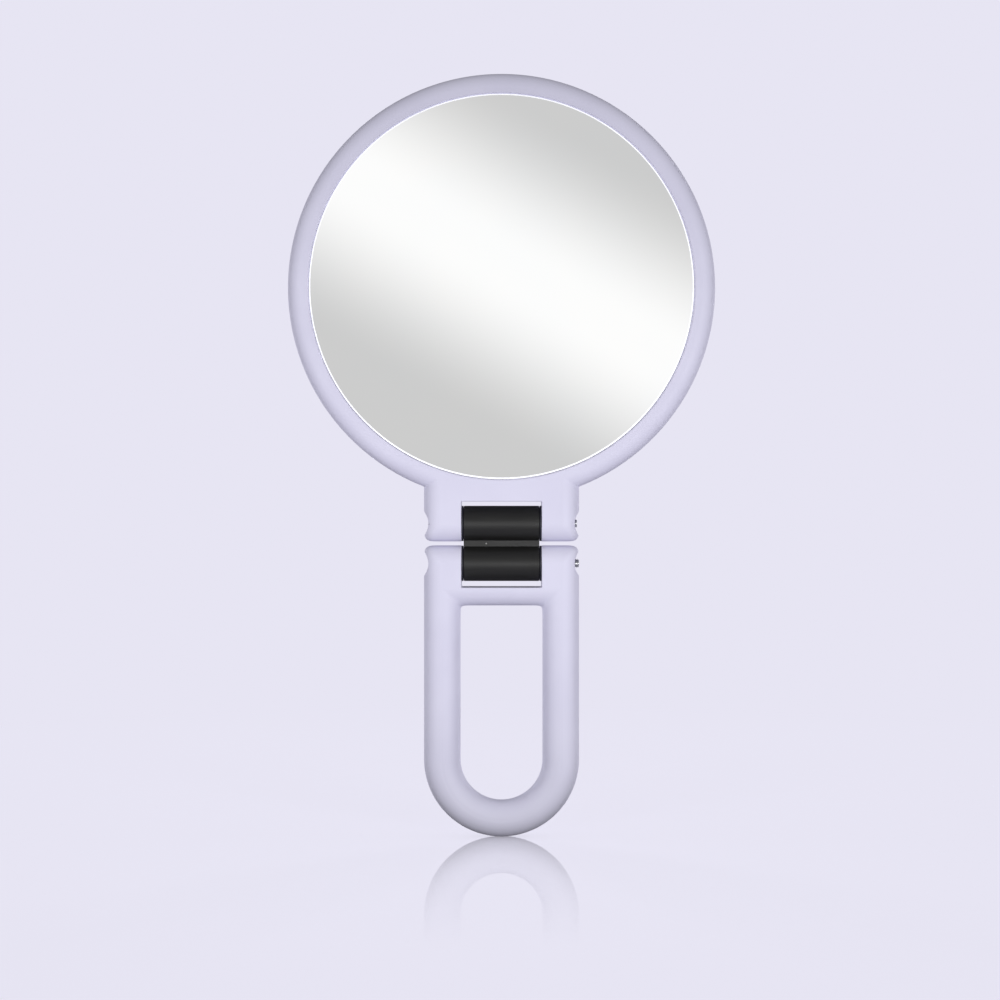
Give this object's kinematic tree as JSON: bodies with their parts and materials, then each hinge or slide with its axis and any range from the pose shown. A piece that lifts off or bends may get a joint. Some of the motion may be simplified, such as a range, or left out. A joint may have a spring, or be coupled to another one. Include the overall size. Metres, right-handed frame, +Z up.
{
  "type": "double-sided folding hand mirror",
  "caption": "Round hand mirror with plain and magnifying glasses in a ring frame, a double-axle folding hinge and a long open loop handle.",
  "frame": {"origin": "under the middle of the handle, at the lowest point of the finger loop, half way through the thickness", "axes": "+Z runs up the straight, open mirror; +X runs along the hinge axles from screw head to nut; the plain glass faces -Y and the magnifying glass +Y"},
  "size_m": [0.14, 0.012, 0.25],
  "materials": {
    "soft_touch_plastic": "pale lavender, soft-touch matt",
    "black_plastic": "black, satin",
    "silvered_glass": "silvered float glass, ground edge",
    "foam_tape": "white closed-cell foam tape",
    "zinc_steel": "zinc-plated steel",
    "washer_plastic": "dark nylon"
  },
  "bodies": {
    "handle": {"handle_front_shell": "soft_touch_plastic", "handle_rear_shell": "soft_touch_plastic", "lower_screw": "zinc_steel", "lower_head_washer": "zinc_steel", "lower_left_friction_washer": "washer_plastic", "lower_right_friction_washer": "washer_plastic", "lower_nut_washer": "zinc_steel", "lower_spring_washer": "zinc_steel", "lower_nut": "zinc_steel"},
    "link": {"hinge_link": "black_plastic"},
    "head": {"head_front_shell": "soft_touch_plastic", "head_rear_shell": "soft_touch_plastic", "plain_mirror": "silvered_glass", "plain_mirror_tape": "foam_tape", "magnifying_mirror": "silvered_glass", "magnifying_mirror_tape": "foam_tape", "upper_screw": "zinc_steel", "upper_head_washer": "zinc_steel", "upper_left_friction_washer": "washer_plastic", "upper_right_friction_washer": "washer_plastic", "upper_nut_washer": "zinc_steel", "upper_spring_washer": "zinc_steel", "upper_nut": "zinc_steel"}
  },
  "joints": [
    {"name": "lower_pivot", "type": "hinge", "parent": "handle", "child": "link", "pos_m": [0, 0, 0.0896], "axis": [1, 0, 0], "range_deg": [-90, 90]},
    {"name": "upper_pivot", "type": "hinge", "parent": "link", "child": "head", "pos_m": [0, 0, 0.1027], "axis": [1, 0, 0], "range_deg": [-90, 90]}
  ]
}
